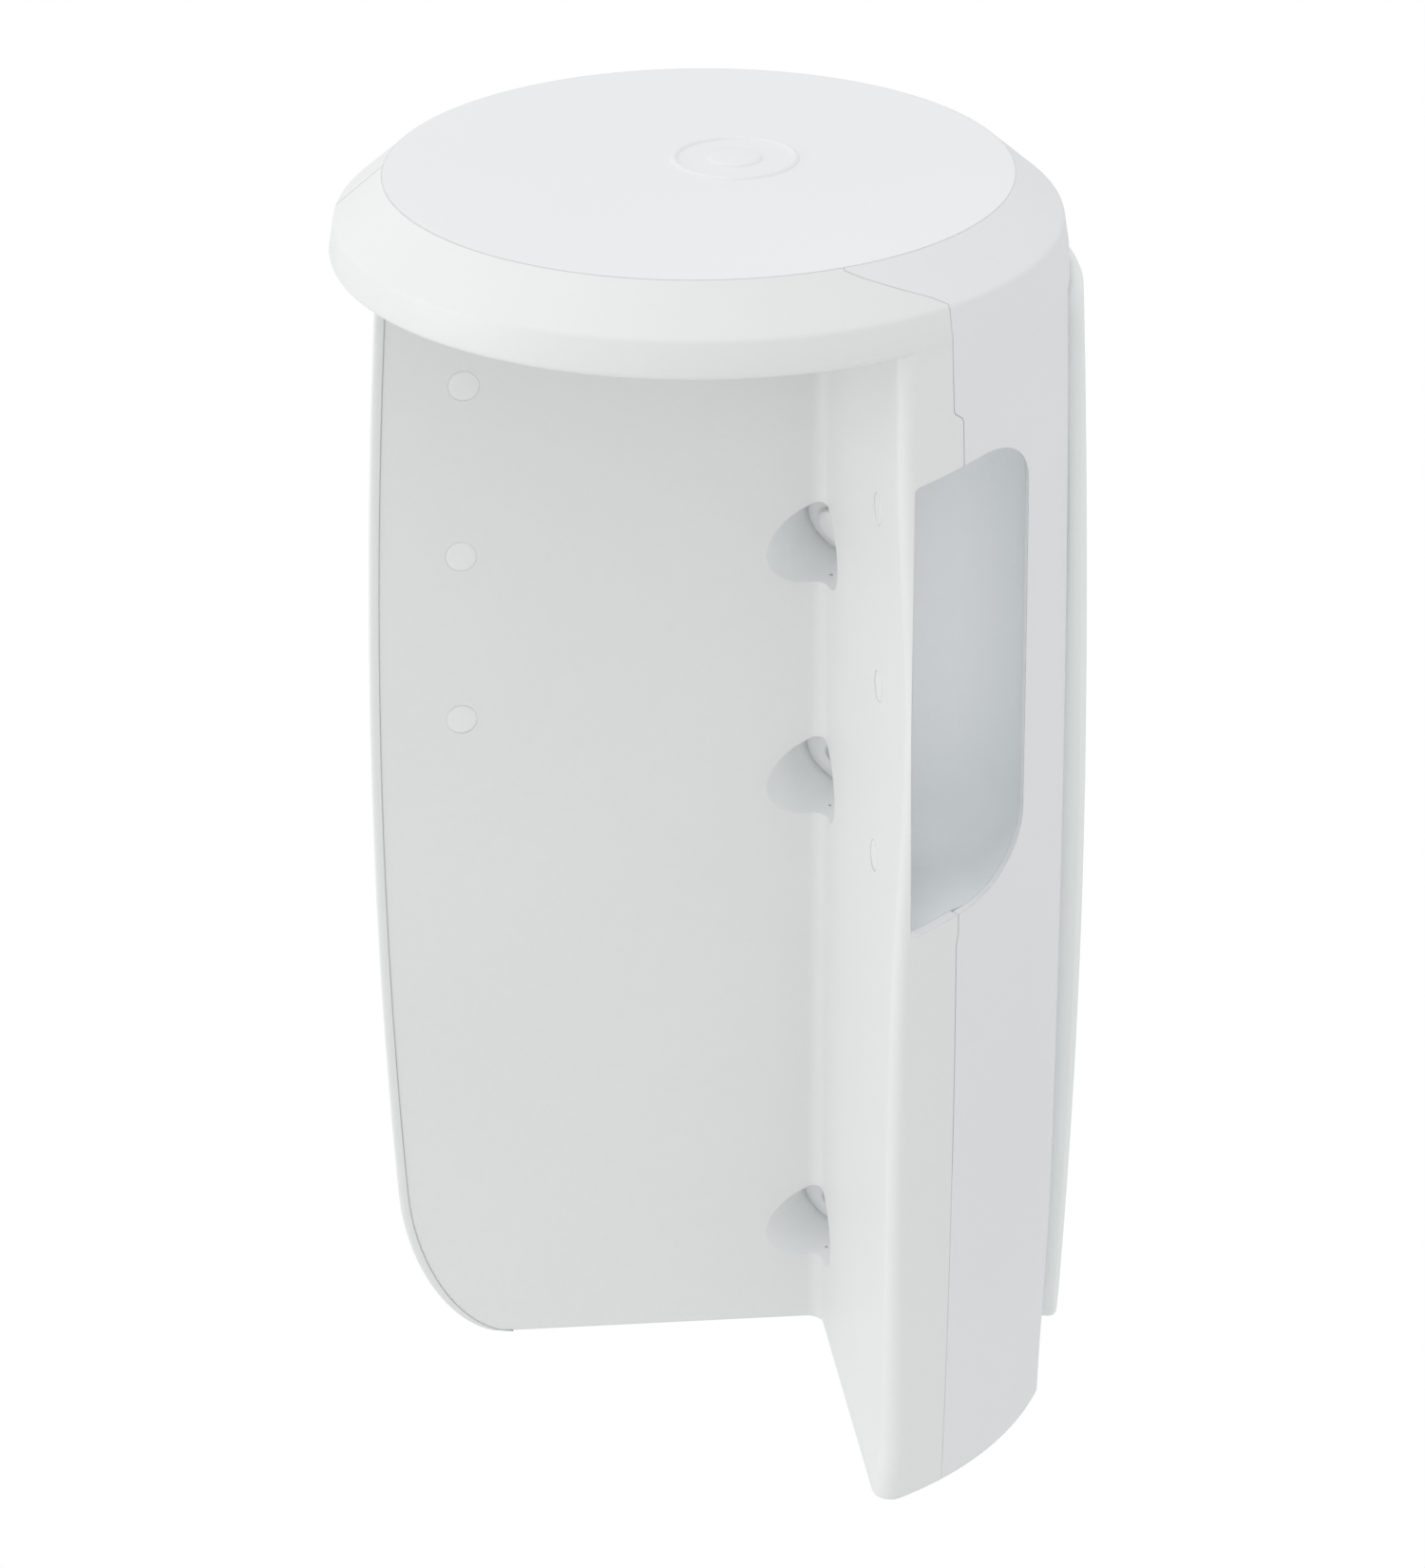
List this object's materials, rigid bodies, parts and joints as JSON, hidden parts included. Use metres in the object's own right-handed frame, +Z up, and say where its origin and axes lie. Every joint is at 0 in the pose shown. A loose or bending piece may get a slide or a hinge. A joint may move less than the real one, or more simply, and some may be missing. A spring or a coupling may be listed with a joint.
{
  "type": "wall-held round safety holder",
  "caption": "Barrel-shaped white housing with round bevelled cap, open quarter bay, hand grip recess and a curved wall cradle it lifts out of.",
  "frame": {"origin": "on the wall face of the cradle's pad, on the cap's centre line, half way up the holder", "axes": "+Z up, +Y towards the wall, -Y towards the viewer, +X towards the hand grip side; the open bay is front left"},
  "size_m": [0.169, 0.1725, 0.3006],
  "materials": {
    "shell_white": "satin white moulding",
    "inner_white": "fine texture",
    "spine_grey": "plain",
    "steel": "zinc plated",
    "rubber": "soft"
  },
  "bodies": {
    "cradle": {"wall_cradle": "shell_white", "cradle_rest_lower_left": "rubber", "cradle_rest_lower_right": "rubber", "cradle_rest_upper_left": "rubber", "cradle_rest_upper_right": "rubber", "hanger_bar": "steel"},
    "housing": {"front_shell": "shell_white", "side_shell": "shell_white", "rear_barrel": "shell_white", "top_cover": "shell_white", "grip_cup": "inner_white", "bottom_cover": "inner_white", "fixing_spine": "spine_grey", "slant_screw_1": "steel", "slant_screw_2": "steel", "slant_screw_3": "steel", "seat_washer_1": "steel", "seat_washer_2": "steel", "seat_washer_3": "steel", "web_plug_1": "shell_white", "web_plug_2": "shell_white", "web_plug_3": "shell_white", "side_plug_1": "shell_white", "side_plug_2": "shell_white", "side_plug_3": "shell_white"},
    "cap_piece": {"screw_cap": "shell_white"}
  },
  "joints": [
    {"name": "housing_lift", "type": "slide", "parent": "cradle", "child": "housing", "axis": [0, 0, 1], "range_m": [0, 0.29]},
    {"name": "screw_cap_pull", "type": "slide", "parent": "housing", "child": "cap_piece", "axis": [-0.6835, -0.6495, -0.3332], "range_m": [0, 0.03]}
  ]
}
